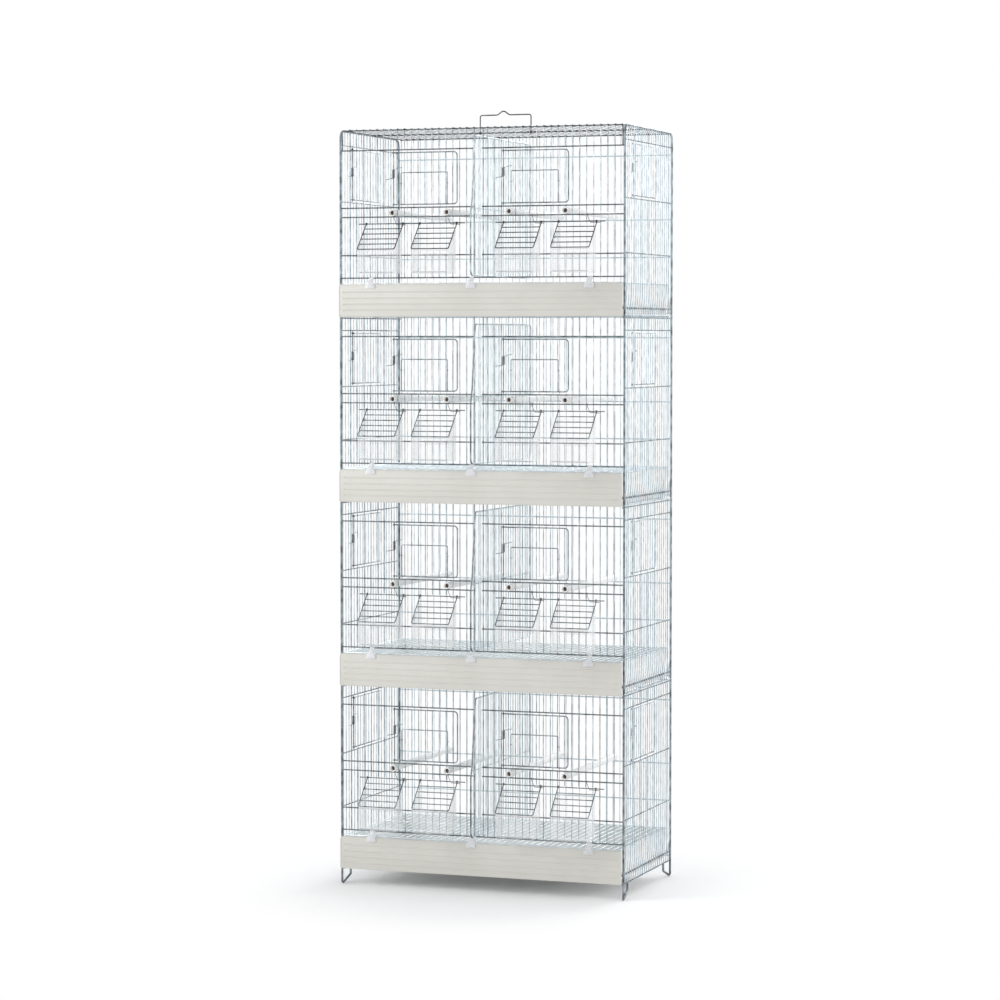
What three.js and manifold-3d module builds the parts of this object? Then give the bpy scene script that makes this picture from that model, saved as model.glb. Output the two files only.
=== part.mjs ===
// Canary breeding rack: four galvanised wire cages stacked on hooked feet, each with a pull-out tray,
// a floor grid, a sliding divider, wire doors and hooded feeder cups under hinged flaps.
// Millimetres, +X to the right, +Y to the back, +Z up. The feet stand on Z = 0.
import * as THREE from "three";
import { mergeVertices } from "three/addons/utils/BufferGeometryUtils.js";
import Module from "manifold-3d";

// ---- Driving dimensions -------------------------------------------------------------------------

// Overall rack
const cageWidth = 600;
const cageDepth = 318;
const cageHeight = 406.6; // from the feet to the top of the roof
const tierPitch = cageHeight - 37; // each cage's feet hang inside the top of the one below
const tierCount = 4;

// Wire gauges and fits
const postWire = 4.5; // side frames
const footWire = 3; // hooked feet, just inside the side frames
const railWire = 2.6; // horizontal rails and panel edges
const leafWire = 2.4; // door leaves
const rodWire = 2; // feeder flaps and their rods
const meshWire = 1.9; // upright bars between the rails
const meshPitch = 14.63; // centre to centre of the upright bars
const coarse = 3; // the solids carry every third bar of the sides, back, roof and grid
const fit = 0.3; // running gap between neighbouring pieces
const graze = 0.15; // gap where a bar only passes a rail of its own panel
const bite = 0.2; // depth of a weld between two wires of one panel

// Heights of the front rails above a cage's feet
const gateRail = 110.6; // lowest rail, above the tray's slot
const cupRail = 155.4; // carries the feeder cups
const perchRail = 231.5; // carries the perch ends
const sillRail = 249.7; // under the front doors
const headRail = cageHeight - 42.7; // over the front doors

// Divider and its slot in the front panel
const slotCentre = -4;
const slotWidth = 16;
const dividerWire = 4;
const dividerNose = 42.5; // how far its lower front edge stands out of the cage
const dividerNeck = 34.5; // the same where the edge begins to lean back
const dividerBrow = 20.8; // the same at the top
const dividerBend = 236; // heights of those two bends
const dividerLean = 260;
const dividerRail = 246;
const dividerTop = cageHeight - 18.7; // middle of its top wire
const dividerCorner = 10;
const dividerTilt = 10; // degrees that its upper front leans back
const dividerBackGap = 6;

// Front doors
const doorMargin = 115.6; // from the side of the cage to a door's far edge
const doorWidth = 137;
const doorCorner = 8;
const doorDrop = 3.6; // clear height between a door leaf and the rail under it
const doorHead = 3.1; // clear height over it
const popOffset = 17.5; // the small gate on each door, from the hinge side
const popWidth = 98;
const popShare = 0.61; // its height, as a share of the door leaf's

// Feeder flaps
const flapMargin = 57.3; // from the side of the cage to the far flap
const flapWidth = 81;
const flapSpacing = 33; // between the two flaps of a compartment
const flapRodHeight = 218;
const flapRodOverhang = 15.7; // how far the rod runs past the flaps
const flapLength = 73.4;
const flapCorner = 7;
const flapLean = 44; // degrees that a resting flap leans out from hanging straight
const flapBars = 4;

// Feeder cups
const cupWidth = 79;
const cupDepth = 48.3;
const cupWall = 1.8;
const cupBase = 118;
const cupRim = 163.6;
const cupStandOff = 2.2; // from the front rails to the cup's back
const cupChamfer = 6;
const hoodTop = 204;
const windowWidth = 36;
const windowTop = 197;
const hookWidth = 60;
const hookDrop = 7;

// Side panels
const sideRails = [157, 263.5, cageHeight - 30.6];
const runnerRail = 49.5; // carries the tray's ledges
const runnerWire = 3.2;
const runnerLedge = 2.4; // how far it stands in from the frame
const skirtRail = 31;
const skirtEnd = 38; // the upright bars stop here
const sideCorner = 16;
const sideBarPitch = 14.6;
const sideDoorFront = 60; // from the front of the cage to the side door
const sideDoorWidth = 153;
const footHeight = 42;
const footTop = 37.5; // an upper cage's posts begin here, on the frame below
const soleLength = 6;
const toeReach = 35;
const toeRise = 13.5;

// Back panel
const backRails = [155, 231, cageHeight - 45.1];
const backSkirt = 40;

// Tray and floor grid
const trayFrontMargin = 3; // from the side of the cage to the tray's front
const trayFrontBase = 33.2;
const trayFrontTop = 98.6;
const trayStandOff = 7.4; // from the cage's front to the inside of the tray's front
const trayWall = 2.6;
const trayMargin = 10; // from the side of the cage to the tray's body
const trayFloor = 38.6;
const trayRim = 97.5;
const trayBackGap = 8;
const trayCorner = 7;
const trayRibs = 4;
const ribHeight = 2.5;
const ribDepth = 0.8;
const ledgeWidth = 4.5;
const ledgeThickness = 3;
const gridMargin = 7; // from the side of the cage to the grid
const gridWire = 2.6;
const gridFront = 1; // the grid's front edge, from the cage's front
const gridBackGap = 7;

// Clips that hook the tray's front to the lowest rail
const clipMargin = 70.4; // from the side of the cage to the middle of an outer clip
const clipMiddle = -16.2;
const clipNeck = 10;
const clipTab = 21;
const clipTabHeight = 13;
const clipThickness = 1.9;
const clipTop = 111.6;

// Roof and handle
const roofMiddle = 158; // from the front to the middle of the roof
const handlePlace = slotCentre;
const handleWidth = 111;
const handleHeight = 34;
const handleBump = 7;

// ---- Derived places -----------------------------------------------------------------------------

const halfWidth = cageWidth / 2;
const frameFace = halfWidth - postWire; // inner face of the side frames
const railEnd = frameFace - fit; // the front panel's end bars, below the feet of the next cage
const footFace = frameFace - footWire + bite;
const panelHalf = footFace - fit; // the other panel edges stay clear of the feet
const stackTop = (tierCount - 1) * tierPitch + cageHeight;
const meshRadius = meshWire / Math.sqrt(3); // a three-cornered bar as wide as the wire
const meshFlat = meshRadius / 2; // from such a bar's centre to its flat
const barFront = railWire + 0.1; // the front panel's bars lie just behind its rails
const meshLayer = barFront + meshFlat;
const panelDepth = meshLayer + meshRadius + graze;
const slotLeft = slotCentre - slotWidth / 2;
const slotRight = slotCentre + slotWidth / 2;
const doorInner = halfWidth - doorMargin - doorWidth; // from the middle of the cage to a door
const flapInner = halfWidth - flapMargin - 2 * flapWidth - flapSpacing;
const flapPair = [flapInner, halfWidth - flapMargin];
const flapCentres = [flapPair[0] + flapWidth / 2, flapPair[1] - flapWidth / 2];
const flapRodLayer = barFront - fit - rodWire * Math.SQRT1_2; // its corners turn clear of the bars
const trayFrontWidth = cageWidth - 2 * trayFrontMargin;
const trayWidth = cageWidth - 2 * trayMargin;
const gridWidth = cageWidth - 2 * gridMargin;
const clipPlaces = [clipMargin - halfWidth, clipMiddle, halfWidth - clipMargin];
const trayBack = cageDepth - trayBackGap;
const runnerTop = runnerRail + runnerWire / 2;
const cupFront = -cupStandOff - cupDepth;
const sideRailFace = frameFace + 0.1; // the side rails lie within the frame
const sideBarLayer = sideRailFace + railWire + 0.1 + meshFlat;
const sideDoorSpan = [sideDoorFront, sideDoorFront + sideDoorWidth];

// ---- Materials ----------------------------------------------------------------------------------

const steel = { color: 0xaebfc7, roughness: 0.35, metalness: 0.9 };
const darkSteel = { color: 0x8b999f, roughness: 0.35, metalness: 0.9 };
const whitePlastic = { color: 0xd6d4cc, roughness: 0.5, metalness: 0 };
const clearPlastic = { color: 0xe6eef0, roughness: 0.1, metalness: 0 };

// ---- Solids -------------------------------------------------------------------------------------

const wasm = await Module();
wasm.setup();

function solidOf(geometry) {
  const bare = geometry.clone();
  bare.deleteAttribute("normal");
  bare.deleteAttribute("uv");
  const merged = mergeVertices(bare, 1e-4);
  return new wasm.Manifold(
    new wasm.Mesh({
      numProp: 3,
      vertProperties: merged.attributes.position.array,
      triVerts: new Uint32Array(merged.index.array),
    }),
  );
}

function geometryOf(solid) {
  const mesh = solid.getMesh();
  const geometry = new THREE.BufferGeometry();
  geometry.setAttribute("position", new THREE.BufferAttribute(mesh.vertProperties, 3));
  geometry.setIndex(new THREE.BufferAttribute(mesh.triVerts, 1));
  geometry.computeVertexNormals();
  return geometry;
}

// One geometry of overlapping pieces, less any cuts.
function weld(pieces, cuts = []) {
  let solid = pieces.map(solidOf).reduce((whole, piece) => whole.add(piece));
  for (const cut of cuts) solid = solid.subtract(solidOf(cut));
  return geometryOf(solid);
}

// The mirror image across the YZ plane, its faces still outward.
function mirrored(geometry) {
  const image = geometry.clone().scale(-1, 1, 1);
  const corners = image.index.array;
  for (let i = 0; i < corners.length; i += 3) {
    [corners[i], corners[i + 1]] = [corners[i + 1], corners[i]];
  }
  image.computeVertexNormals();
  return image;
}

// A box between two limits on each axis.
function block([x0, x1], [y0, y1], [z0, z1]) {
  const box = new THREE.BoxGeometry(x1 - x0, y1 - y0, z1 - z0);
  return box.translate((x0 + x1) / 2, (y0 + y1) / 2, (z0 + z1) / 2);
}

const around = (centre, width) => [centre - width / 2, centre + width / 2];
const sorted = (a, b) => [Math.min(a, b), Math.max(a, b)];
const within = (x, [low, high]) => x > low && x < high;

const wireSection = new THREE.Shape([
  new THREE.Vector2(-meshWire / 2, -meshFlat),
  new THREE.Vector2(meshWire / 2, -meshFlat),
  new THREE.Vector2(0, meshRadius),
]);

// A thin straight wire between two points, three-cornered, with a corner towards the apex.
function wire(from, to, apex) {
  const start = new THREE.Vector3(...from);
  const end = new THREE.Vector3(...to);
  const up = new THREE.Vector3(...apex);
  const length = start.distanceTo(end);
  const along = end.sub(start).normalize();
  const turn = new THREE.Matrix4().makeBasis(new THREE.Vector3().crossVectors(up, along), up, along);
  const bar = new THREE.ExtrudeGeometry(wireSection, { depth: length, bevelEnabled: false });
  return bar.applyMatrix4(turn.setPosition(start));
}

// Places of upright bars between two limits, in step with one that stands in the middle.
function barPlaces([low, high], pitch, middle = 0) {
  const first = Math.ceil((low - middle) / pitch);
  const count = Math.floor((high - middle) / pitch) - first + 1;
  return Array.from({ length: count }, (_, i) => middle + (first + i) * pitch);
}

// ---- Flat bent-wire shapes ----------------------------------------------------------------------

// A flat shape stood up in the XZ plane, from y to y + thickness.
function frontPlate(shape, y, thickness) {
  const plate = new THREE.ExtrudeGeometry(shape, { depth: thickness, bevelEnabled: false, curveSegments: 1 });
  return plate.rotateX(Math.PI / 2).translate(0, y + thickness, 0);
}

// A flat shape stood up in the YZ plane, from x to x + thickness.
function sidePlate(shape, x, thickness) {
  const plate = new THREE.ExtrudeGeometry(shape, { depth: thickness, bevelEnabled: false, curveSegments: 1 });
  const axes = [new THREE.Vector3(0, 1, 0), new THREE.Vector3(0, 0, 1), new THREE.Vector3(1, 0, 0)];
  return plate.applyMatrix4(new THREE.Matrix4().makeBasis(...axes)).translate(x, 0, 0);
}

// A rectangle with rounded corners where a radius isn't 0, from the low left corner round.
function roundedRectangle([x0, x1], [y0, y1], [lowLeft, lowRight, highRight, highLeft]) {
  const quarter = Math.PI / 2;
  const shape = new THREE.Shape();
  shape.moveTo(x0 + lowLeft, y0);
  shape.lineTo(x1 - lowRight, y0);
  if (lowRight) shape.absarc(x1 - lowRight, y0 + lowRight, lowRight, -quarter, 0);
  shape.lineTo(x1, y1 - highRight);
  if (highRight) shape.absarc(x1 - highRight, y1 - highRight, highRight, 0, quarter);
  shape.lineTo(x0 + highLeft, y1);
  if (highLeft) shape.absarc(x0 + highLeft, y1 - highLeft, highLeft, quarter, 2 * quarter);
  shape.lineTo(x0, y0 + lowLeft);
  if (lowLeft) shape.absarc(x0 + lowLeft, y0 + lowLeft, lowLeft, 2 * quarter, 3 * quarter);
  return shape;
}

// A closed wire frame just inside the same limits.
function wireRing([x0, x1], [y0, y1], radii, gauge) {
  const ring = roundedRectangle([x0, x1], [y0, y1], radii);
  const inner = radii.map((radius) => Math.max(radius - gauge, 0));
  ring.holes.push(roundedRectangle([x0 + gauge, x1 - gauge], [y0 + gauge, y1 - gauge], inner));
  return ring;
}

// The point at a distance to the left of a bend.
function beside(before, here, after, distance) {
  const into = here.clone().sub(before).normalize();
  const out = after.clone().sub(here).normalize();
  const normal = new THREE.Vector2(-into.y - out.y, into.x + out.x).normalize();
  return here.clone().addScaledVector(normal, distance / (normal.y * into.x - normal.x * into.y));
}

// The outline of a bent wire whose middle follows the points.
function wirePath(points, gauge) {
  const route = points.map(([x, y]) => new THREE.Vector2(x, y));
  const first = route[0].clone().multiplyScalar(2).sub(route[1]);
  const last = route.at(-1).clone().multiplyScalar(2).sub(route.at(-2));
  const edge = (side) =>
    route.map((here, i) => beside(route[i - 1] ?? first, here, route[i + 1] ?? last, (side * gauge) / 2));
  return new THREE.Shape([...edge(-1), ...edge(1).reverse()]);
}

// The outline of a closed loop of wire whose middle follows the points, anticlockwise.
function wireLoop(points, gauge) {
  const route = points.map(([x, y]) => new THREE.Vector2(x, y));
  const edge = (side) =>
    route.map((here, i) => beside(route.at(i - 1), here, route[(i + 1) % route.length], (side * gauge) / 2));
  const loop = new THREE.Shape(edge(-1));
  loop.holes.push(new THREE.Path(edge(1)));
  return loop;
}

// Points on a rounded corner of a wire's route, between two directions in degrees.
function bend([x, y], radius, from, to, steps = 2) {
  return Array.from({ length: steps + 1 }, (_, i) => {
    const angle = THREE.MathUtils.degToRad(from + ((to - from) * i) / steps);
    return [x + radius * Math.cos(angle), y + radius * Math.sin(angle)];
  });
}

// ---- Front panel --------------------------------------------------------------------------------

const compartments = [
  { side: "left", sign: -1, slotEdge: slotLeft },
  { side: "right", sign: 1, slotEdge: slotRight },
];

const doorSpan = (sign) => sorted(sign * doorInner, sign * (doorInner + doorWidth));
const flapSpans = (sign) => flapCentres.map((centre) => around(sign * centre, flapWidth));

// Upright bars of one compartment: whole ones, and broken ones where a door or a flap needs the room.
function frontBars({ sign, slotEdge }) {
  const bar = (x, from, to) => wire([x, meshLayer, from], [x, meshLayer, to], [0, 1, 0]);
  const topRoot = cageHeight - railWire + bite;
  const gateTop = gateRail + railWire / 2;
  const reach = sorted(slotEdge + sign * 2 * railWire, sign * (panelHalf - 2 * railWire));
  const overFlap = (x) => flapSpans(sign).some((span) => within(x, span));
  const bars = [];
  for (const x of barPlaces(reach, meshPitch)) {
    const foot = overFlap(x) ? flapRodHeight + rodWire : gateTop + graze;
    if (within(x, doorSpan(sign))) {
      bars.push(bar(x, headRail - railWire / 2, topRoot));
      bars.push(bar(x, foot, sillRail - railWire / 2 + bite));
    } else {
      bars.push(bar(x, foot, topRoot));
    }
  }
  for (const x of barPlaces(reach, coarse * meshPitch).filter(overFlap)) {
    bars.push(bar(x, gateTop - bite, cupRail + railWire / 2));
  }
  return bars;
}

function frontPanel() {
  const layer = [0, panelDepth];
  const pieces = [
    block([-railEnd, railEnd], layer, around(gateRail, railWire)),
    block([-panelHalf, panelHalf], [railWire, panelDepth], [cageHeight - railWire, cageHeight]),
  ];
  for (const compartment of compartments) {
    const { sign, slotEdge } = compartment;
    pieces.push(block(sorted(slotEdge, slotEdge + sign * railWire), layer, [gateRail, cageHeight]));
    const end = sorted(sign * railEnd, sign * (railEnd - railWire));
    pieces.push(block(end, layer, [gateRail, headRail + railWire / 2]));
    const run = sorted(slotEdge + sign * (railWire - bite), sign * (railEnd - railWire + bite));
    for (const height of [cupRail, perchRail, sillRail, headRail]) {
      pieces.push(block(run, [0, railWire], around(height, railWire)));
    }
    const sill = around(sign * (doorInner + doorWidth / 2), doorWidth + 2 * railWire);
    pieces.push(block(sill, [railWire - bite, panelDepth], around(sillRail, railWire)));
    pieces.push(...frontBars(compartment));
  }
  return weld(pieces);
}

// ---- Side panels --------------------------------------------------------------------------------

// A hooked foot: down the post, along the floor, up the toe and back up to the lowest rail.
function foot(heel, inward) {
  const sole = footWire / 2;
  const route = [
    [heel, footHeight],
    [heel, sole],
    [heel + inward * soleLength, sole],
    [heel + inward * toeReach, sole + toeRise],
    [heel + inward * toeReach, skirtRail],
  ];
  return sidePlate(wirePath(route, footWire), footFace, footWire);
}

// A rail from post to post, whose inner face is at the given place.
function sideRail(face, height, gauge, lap) {
  return block([face, face + gauge], [lap, cageDepth - lap], around(height, gauge));
}

// Upright bars hang from the frame's top and leave the side door free.
function sideBars() {
  const [, sill, head] = sideRails;
  const bar = (y, from, to) => wire([sideBarLayer, y, from], [sideBarLayer, y, to], [1, 0, 0]);
  const root = cageHeight - postWire + bite;
  const reach = [2 * postWire, cageDepth - 2 * postWire];
  const bars = [];
  for (const y of barPlaces(reach, coarse * sideBarPitch, cageDepth / 2)) {
    if (within(y, sideDoorSpan)) {
      bars.push(bar(y, head - railWire / 2, root));
      bars.push(bar(y, skirtEnd, sill - railWire / 2 + bite));
    } else {
      bars.push(bar(y, skirtEnd, root));
    }
  }
  return bars;
}

// The right side of one cage, whose posts end at a height above its feet.
function sideOfCage(postEnd) {
  const front = postWire / 2;
  const back = cageDepth - front;
  const top = cageHeight - front;
  const frame = [
    [back, postEnd],
    ...bend([back - sideCorner, top - sideCorner], sideCorner, 0, 90),
    ...bend([front + sideCorner, top - sideCorner], sideCorner, 90, 180),
    [front, postEnd],
  ];
  const sill = around(sideDoorFront + sideDoorWidth / 2, sideDoorWidth + 2 * railWire);
  return [
    sidePlate(wirePath(frame, postWire), frameFace, postWire),
    foot(front, 1),
    foot(back, -1),
    ...sideRails.map((height) => sideRail(sideRailFace, height, railWire, postWire - bite)),
    sideRail(footFace + graze, skirtRail, railWire, (postWire + footWire) / 2 - bite),
    sideRail(frameFace - runnerLedge, runnerRail, runnerWire, footWire),
    block([sideRailFace + bite, halfWidth - graze], sill, around(sideRails[1], railWire)),
    ...sideBars(),
  ];
}

function sidePanels() {
  const pieces = [];
  for (let tier = 0; tier < tierCount; tier++) {
    const side = sideOfCage(tier === 0 ? 0 : footTop);
    pieces.push(...side.map((piece) => piece.translate(0, 0, tier * tierPitch)));
  }
  return weld(pieces);
}

// ---- Back and roof panels -----------------------------------------------------------------------

const crossBarReach = [-panelHalf + 2 * railWire, panelHalf - 2 * railWire];
const inside = [-panelHalf + bite, panelHalf - bite];

function panelEdges(depth, heights) {
  return [-1, 1].map((sign) => block(sorted(sign * panelHalf, sign * (panelHalf - railWire)), depth, heights));
}

// The backs of all cages: rails for each cage, and bars that run down through the whole rack.
function backPanels() {
  const layer = cageDepth - meshLayer;
  const rail = [cageDepth - railWire, cageDepth];
  const slab = [cageDepth - panelDepth, cageDepth];
  const pieces = panelEdges(slab, [backSkirt, stackTop]);
  for (let tier = 0; tier < tierCount; tier++) {
    const base = tier * tierPitch;
    for (const height of backRails) {
      pieces.push(block(inside, rail, around(base + height, railWire)));
    }
    pieces.push(block(inside, rail, [base + backSkirt, base + backSkirt + railWire]));
    const top = base + cageHeight;
    pieces.push(block(inside, tier < tierCount - 1 ? rail : slab, [top - railWire, top]));
  }
  for (const x of barPlaces(crossBarReach, coarse * meshPitch)) {
    pieces.push(wire([x, layer, backSkirt], [x, layer, stackTop - railWire + bite], [0, -1, 0]));
  }
  return weld(pieces);
}

// The carrying handle: two legs and a bar with a raised grip in its middle.
function handle() {
  const peak = cageHeight + handleHeight - railWire / 2;
  const root = cageHeight - 2 * railWire + bite;
  const route = [
    [-handleWidth / 2, root],
    [-handleWidth / 2, peak],
    [-handleBump, peak],
    [0, peak + handleBump],
    [handleBump, peak],
    [handleWidth / 2, peak],
    [handleWidth / 2, root],
  ];
  return frontPlate(wirePath(route, railWire), roofMiddle + bite, railWire).translate(handlePlace, 0, 0);
}

function roofPanel() {
  const front = panelDepth + fit;
  const back = cageDepth - panelDepth - fit;
  const barFloor = cageHeight - railWire; // the bars lie on the cross rails
  const thick = [cageHeight - 2 * railWire, cageHeight];
  const thin = [cageHeight - 2 * railWire + bite, barFloor - graze];
  const pieces = panelEdges([front, back], thick);
  pieces.push(block(inside, [back - railWire, back - bite], [thick[0] + bite, cageHeight - bite]));
  for (const y of [front + bite, roofMiddle]) {
    pieces.push(block(inside, [y, y + railWire], thin));
  }
  const level = barFloor + meshFlat;
  for (const x of barPlaces(crossBarReach, coarse * meshPitch)) {
    pieces.push(wire([x, front, level], [x, back - railWire + bite, level], [0, 0, 1]));
  }
  pieces.push(handle());
  return weld(pieces);
}

// ---- Doors --------------------------------------------------------------------------------------

const doorCorners = [0, doorCorner, doorCorner, 0];

// Heights of a door between two rails, and of the pivot ends of its hinge wire.
function doorHeights(sill, head) {
  const [low, high] = [sill + railWire / 2, head - railWire / 2];
  return { leaf: [low + doorDrop, high - doorHead], pivot: [low + fit, high - fit] };
}

function frontDoor(sign) {
  const [left, right] = doorSpan(sign);
  const { leaf, pivot } = doorHeights(sillRail, headRail);
  const layer = leafWire / 2;
  const pieces = [
    frontPlate(wireRing([left, right], leaf, doorCorners, leafWire), 0, leafWire),
    block([left, left + leafWire], [0, leafWire], pivot),
  ];
  for (const x of barPlaces([left + 2 * leafWire, right - 2 * leafWire], meshPitch)) {
    const from = [x, layer, leaf[0] + leafWire + graze];
    pieces.push(wire(from, [x, layer, leaf[1] - leafWire + bite], [0, 1, 0]));
  }
  const popLeft = left + popOffset;
  const popFoot = leaf[0] + leafWire / 2;
  const popTop = leaf[0] + popShare * (leaf[1] - leaf[0]);
  const pop = [
    [popLeft, popFoot],
    [popLeft, popTop],
    [popLeft + popWidth, popTop],
    [popLeft + popWidth, popFoot],
  ];
  const popDepth = meshWire / 2;
  pieces.push(frontPlate(wirePath(pop, meshWire), layer - meshFlat - graze - popDepth, popDepth));
  return weld(pieces);
}

function sideDoor() {
  const [front, back] = sideDoorSpan;
  const { leaf, pivot } = doorHeights(sideRails[1], sideRails[2]);
  const face = sideRailFace;
  const layer = face + leafWire / 2;
  const pieces = [
    sidePlate(wireRing([front, back], leaf, doorCorners, leafWire), face, leafWire),
    block([face, face + leafWire], [front, front + leafWire], pivot),
  ];
  const reach = [front + 2 * leafWire, back - 2 * leafWire];
  for (const y of barPlaces(reach, coarse * sideBarPitch, cageDepth / 2)) {
    const from = [layer, y, leaf[0] + leafWire + graze];
    pieces.push(wire(from, [layer, y, leaf[1] - leafWire + bite], [1, 0, 0]));
  }
  return weld(pieces);
}

// ---- Feeder flaps and cups ----------------------------------------------------------------------

// A pair for the right compartment: a rod through the origin with both flaps hanging straight down.
function hangingFlaps() {
  const half = rodWire / 2;
  const rodSpan = [flapPair[0] - flapRodOverhang, flapPair[1] + flapRodOverhang];
  const pieces = [block(rodSpan, [-half, half], [-half, half])];
  const bottom = half - flapLength;
  for (const centre of flapCentres) {
    const [left, right] = around(centre, flapWidth - rodWire);
    const route = [
      [left, 0],
      [left, bottom + flapCorner],
      [left + flapCorner, bottom],
      [right - flapCorner, bottom],
      [right, bottom + flapCorner],
      [right, 0],
    ];
    pieces.push(frontPlate(wirePath(route, rodWire), -half, rodWire));
    for (let i = 1; i <= flapBars; i++) {
      const height = (bottom * i) / (flapBars + 1);
      pieces.push(wire([left + half - bite, 0, height], [right - half - graze, 0, height], [0, 1, 0]));
    }
  }
  return weld(pieces);
}

// A cup that hangs on the front panel by a lipped hook, with a windowed guard plate above its back.
function feederCup() {
  const half = cupWidth / 2;
  const back = -cupStandOff;
  const outline = (wall, top) => {
    const [front, floor] = [cupFront + wall, cupBase + wall];
    return new THREE.Shape([
      new THREE.Vector2(front + cupChamfer, floor),
      new THREE.Vector2(back - wall, floor),
      new THREE.Vector2(back - wall, top),
      new THREE.Vector2(front, top),
      new THREE.Vector2(front, floor + cupChamfer),
    ]);
  };
  const hookBase = cupRail + railWire / 2 + fit;
  const lip = panelDepth + fit;
  const hook = [
    [back - bite, hookBase + cupWall / 2],
    [lip + cupWall / 2, hookBase + cupWall / 2],
    [lip + cupWall / 2, hookBase - hookDrop],
  ];
  const pieces = [
    sidePlate(outline(0, cupRim), -half, cupWidth),
    block([-half, half], [back - cupWall, back], [cupRim - bite, hoodTop]),
    sidePlate(wirePath(hook, cupWall), -hookWidth / 2, hookWidth),
  ];
  const cuts = [
    sidePlate(outline(cupWall, cupRim + cupWall), cupWall - half, cupWidth - 2 * cupWall),
    block(around(0, windowWidth), [back - 2 * cupWall, back + cupWall], [cupRim, windowTop]),
  ];
  return weld(pieces, cuts);
}

// ---- Tray, floor grid and divider ---------------------------------------------------------------

// A clip on the tray's front whose neck bends back over to the lowest rail.
function clip(place) {
  const face = -trayStandOff - trayWall;
  const neckRoot = face + bite - clipThickness / 2;
  const neckFace = -fit - clipThickness / 2;
  const tab = [trayFrontTop - 0.7 * clipTabHeight, trayFrontTop + 0.3 * clipTabHeight];
  const neck = [
    [neckRoot, tab[0] + clipThickness],
    [neckRoot, tab[1]],
    [neckFace, gateRail - railWire],
    [neckFace, clipTop],
  ];
  return [
    block(around(place, clipTab), [face + bite - clipThickness, face + bite], tab),
    sidePlate(wirePath(neck, clipThickness), place - clipNeck / 2, clipNeck),
  ];
}

function tray() {
  const half = trayWidth / 2;
  const inner = -trayStandOff;
  const outer = inner - trayWall;
  const frontHeights = [trayFrontBase, trayFrontTop];
  const front = roundedRectangle(around(0, trayFrontWidth), frontHeights, [0, 0, trayCorner, trayCorner]);
  const ledge = around(0, trayWidth + 2 * ledgeWidth);
  const pieces = [
    frontPlate(front, outer, trayWall),
    block([-half, half], [inner - bite, trayBack], [trayFloor, trayRim]),
    block(ledge, [postWire, trayBack - postWire], [runnerTop + fit, runnerTop + fit + ledgeThickness]),
  ];
  for (let i = 1; i <= trayRibs; i++) {
    const height = trayFloor + ((trayRim - trayFloor) * i) / (trayRibs + 1);
    pieces.push(block([-half, half], [outer - ribDepth, outer + bite], around(height, ribHeight)));
  }
  for (const place of clipPlaces) pieces.push(...clip(place));
  const hollow = block(
    [-half + trayWall, half - trayWall],
    [inner, trayBack - trayWall],
    [trayFloor + trayWall, trayRim + trayWall],
  );
  return weld(pieces, [hollow]);
}

function floorGrid() {
  const width = around(0, gridWidth);
  const depth = [gridFront, cageDepth - gridBackGap];
  const ring = wireRing(width, depth, [0, 0, 0, 0], gridWire);
  const frame = new THREE.ExtrudeGeometry(ring, { depth: gridWire, bevelEnabled: false });
  const pieces = [frame.translate(0, 0, trayRim + fit)];
  const level = trayRim + fit + gridWire / 2;
  const reach = [width[0] + 2 * gridWire, width[1] - 2 * gridWire];
  for (const x of barPlaces(reach, coarse * meshPitch)) {
    const from = [x, depth[0] + gridWire + graze, level];
    pieces.push(wire(from, [x, depth[1] - gridWire + bite, level], [0, 0, 1]));
  }
  return weld(pieces);
}

function divider() {
  const half = dividerWire / 2;
  const low = gateRail + railWire / 2 + fit + half;
  const back = cageDepth - dividerBackGap;
  const outline = [
    [back, low],
    [back, dividerTop],
    ...bend([dividerCorner - dividerBrow, dividerTop - dividerCorner], dividerCorner, 90, 180 - dividerTilt),
    [-dividerNeck, dividerLean],
    [-dividerNose, dividerBend],
    [-dividerNose, low],
  ];
  const railLayer = [slotCentre - half, slotCentre - graze];
  const pieces = [
    sidePlate(wireLoop(outline, dividerWire), slotCentre - half, dividerWire),
    block(railLayer, [-(dividerNeck + dividerNose) / 2, back], around(dividerRail, railWire)),
  ];
  const layer = slotCentre + meshFlat;
  const reach = [-dividerBrow, back - dividerWire];
  for (const y of barPlaces(reach, coarse * sideBarPitch, cageDepth / 2)) {
    pieces.push(wire([layer, y, low + half + graze], [layer, y, dividerTop - half + bite], [1, 0, 0]));
  }
  return weld(pieces);
}

// ---- Assembly -----------------------------------------------------------------------------------

const rack = new THREE.Group();

function add(name, geometry, finish, position = [0, 0, 0]) {
  const mesh = new THREE.Mesh(geometry, new THREE.MeshStandardMaterial(finish));
  mesh.name = name;
  mesh.position.set(...position);
  rack.add(mesh);
  return mesh;
}

// A shape of the right side with its mirror image.
const pair = (right) => ({ left: mirrored(right), right });

const shapes = {
  side: pair(sidePanels()),
  frontPanel: frontPanel(),
  tray: tray(),
  floorGrid: floorGrid(),
  divider: divider(),
  cup: feederCup(),
  frontDoor: { left: frontDoor(-1), right: frontDoor(1) },
  sideDoor: pair(sideDoor()),
  flaps: pair(hangingFlaps()),
};

add("side_panels_left", shapes.side.left, darkSteel);
add("side_panels_right", shapes.side.right, darkSteel);
add("back_panels", backPanels(), steel);
add("roof_panel", roofPanel(), steel, [0, 0, (tierCount - 1) * tierPitch]);

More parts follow.
